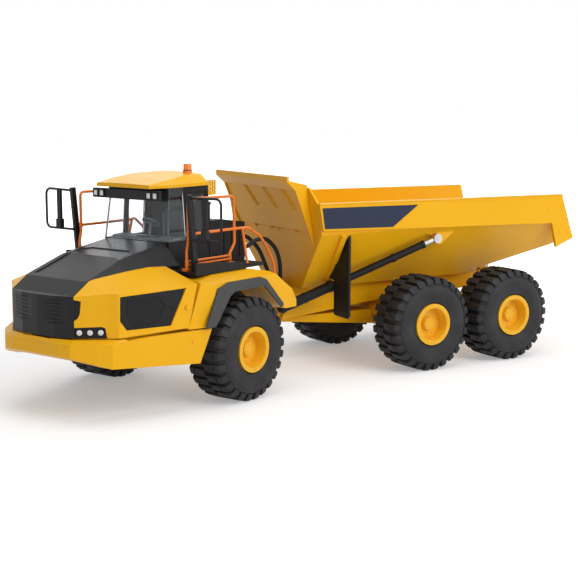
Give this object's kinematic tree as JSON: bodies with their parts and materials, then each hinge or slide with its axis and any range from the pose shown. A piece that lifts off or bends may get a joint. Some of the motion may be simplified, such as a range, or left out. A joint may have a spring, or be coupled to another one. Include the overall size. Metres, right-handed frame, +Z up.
{
  "type": "articulated dump truck scale model",
  "caption": "Scale model of a six-wheeled articulated dump truck: steered cab unit on one axle hinged to a tipping load body on a two-axle bogie, with twin hoist cylinders.",
  "frame": {"origin": "point on the floor straight below the articulation pin", "axes": "+X forward along the rear unit, +Y to its left, +Z up"},
  "size_m": [0.7704, 0.3076, 0.2617],
  "materials": {
    "yellow": "moulded, satin gloss",
    "rim_yellow": "moulded, satin",
    "black": "moulded, satin black",
    "grey": "moulded, matte grey",
    "orange": "moulded, satin",
    "blue": "printed label stock, satin",
    "tyre": "moulded, matte",
    "steel": "plated",
    "glass": "clear moulded",
    "seat_grey": "moulded, matte"
  },
  "bodies": {
    "rear_frame": {"axle_mid": "yellow", "axle_rear": "yellow", "bogie_beams": "yellow", "hitch_ring": "yellow", "lower_link": "yellow", "rear_frame": "yellow", "tip_hinge_pin": "steel"},
    "front_frame": {"air_cleaner": "black", "articulation_pin": "steel", "axle_front": "yellow", "beacon": "orange", "bumper": "yellow", "cab_glass": "glass", "cab_shell": "black", "cowl": "black", "dashboard": "seat_grey", "engine_block": "black", "fenders": "yellow", "flares": "grey", "front_frame": "yellow", "handrails": "orange", "hoses": "black", "light_bar": "black", "mirrors": "black", "rear_box": "black", "roof": "yellow", "roof_guard": "yellow", "seat": "seat_grey", "side_decks": "black"},
    "hood": {"grille": "black", "hood_sides": "yellow", "hood_top": "black", "lamp_clusters": "black", "side_vents": "black"},
    "cab_door": {"cab_door": "black", "door_glass": "glass"},
    "dump_body": {"body_rails": "yellow", "cylinder_brackets": "yellow", "dump_body": "yellow", "mud_flaps": "black", "spill_guard": "yellow", "stripe_plates": "blue"},
    "hoist_barrel_left": {"hoist_barrel_left": "black"},
    "hoist_barrel_right": {"hoist_barrel_right": "black"},
    "hoist_rod_left": {"hoist_rod_left": "steel"},
    "hoist_rod_right": {"hoist_rod_right": "steel"},
    "wheel_front_left": {"rim_front_left": "rim_yellow", "tyre_front_left": "tyre"},
    "wheel_front_right": {"rim_front_right": "rim_yellow", "tyre_front_right": "tyre"},
    "wheel_mid_left": {"rim_mid_left": "rim_yellow", "tyre_mid_left": "tyre"},
    "wheel_mid_right": {"rim_mid_right": "rim_yellow", "tyre_mid_right": "tyre"},
    "wheel_rear_left": {"rim_rear_left": "rim_yellow", "tyre_rear_left": "tyre"},
    "wheel_rear_right": {"rim_rear_right": "rim_yellow", "tyre_rear_right": "tyre"}
  },
  "joints": [
    {"name": "articulation", "type": "hinge", "parent": "rear_frame", "child": "front_frame", "pos_m": [0, 0, 0.07], "axis": [0, 0, 1], "range_deg": [-60, 19.8]},
    {"name": "body_tip", "type": "hinge", "parent": "rear_frame", "child": "dump_body", "pos_m": [-0.404, 0, 0.112], "axis": [0, -1, 0], "range_deg": [0, 65]},
    {"name": "hood_open", "type": "hinge", "parent": "front_frame", "child": "hood", "pos_m": [0.25853, 0.09461, 0.0936], "axis": [-0.3437, 0.9391, 0], "range_deg": [0, 60]},
    {"name": "cab_door_swing", "type": "hinge", "parent": "front_frame", "child": "cab_door", "pos_m": [0.04668, 0.07032, 0.19], "axis": [0, 0, 1], "range_deg": [0, 75]},
    {"name": "wheel_front_left_spin", "type": "hinge", "parent": "front_frame", "child": "wheel_front_left", "pos_m": [0.03886, 0.12252, 0.0587], "axis": [-0.3437, 0.9391, 0], "continuous": true},
    {"name": "wheel_front_right_spin", "type": "hinge", "parent": "front_frame", "child": "wheel_front_right", "pos_m": [0.10876, -0.06849, 0.0587], "axis": [-0.3437, 0.9391, 0], "continuous": true},
    {"name": "wheel_mid_left_spin", "type": "hinge", "parent": "rear_frame", "child": "wheel_mid_left", "pos_m": [-0.238, 0.1017, 0.0587], "axis": [0, 1, 0], "continuous": true},
    {"name": "wheel_mid_right_spin", "type": "hinge", "parent": "rear_frame", "child": "wheel_mid_right", "pos_m": [-0.238, -0.1017, 0.0587], "axis": [0, 1, 0], "continuous": true},
    {"name": "wheel_rear_left_spin", "type": "hinge", "parent": "rear_frame", "child": "wheel_rear_left", "pos_m": [-0.3691, 0.1017, 0.0587], "axis": [0, 1, 0], "continuous": true},
    {"name": "wheel_rear_right_spin", "type": "hinge", "parent": "rear_frame", "child": "wheel_rear_right", "pos_m": [-0.3691, -0.1017, 0.0587], "axis": [0, 1, 0], "continuous": true},
    {"name": "hoist_left_swing", "type": "hinge", "parent": "rear_frame", "child": "hoist_barrel_left", "pos_m": [-0.072, 0.041, 0.082], "axis": [0.4749, 0.6432, 0.6006], "range_deg": [0, 9.95]},
    {"name": "hoist_left_extend", "type": "slide", "parent": "hoist_barrel_left", "child": "hoist_rod_left", "axis": [-0.8776, 0.2957, 0.3773], "range_m": [0, 0.158]},
    {"name": "hoist_right_swing", "type": "hinge", "parent": "rear_frame", "child": "hoist_barrel_right", "pos_m": [-0.072, -0.041, 0.082], "axis": [-0.4749, 0.6432, -0.6006], "range_deg": [0, 9.95]},
    {"name": "hoist_right_extend", "type": "slide", "parent": "hoist_barrel_right", "child": "hoist_rod_right", "axis": [-0.8776, -0.2957, 0.3773], "range_m": [0, 0.158]}
  ],
  "couplings": [
    {"joint": "hoist_left_swing", "follows": "body_tip", "ratio": 0.15218},
    {"joint": "hoist_left_extend", "follows": "body_tip", "m_per_rad": 0.13899},
    {"joint": "hoist_right_swing", "follows": "body_tip", "ratio": 0.15218},
    {"joint": "hoist_right_extend", "follows": "body_tip", "m_per_rad": 0.13899}
  ]
}
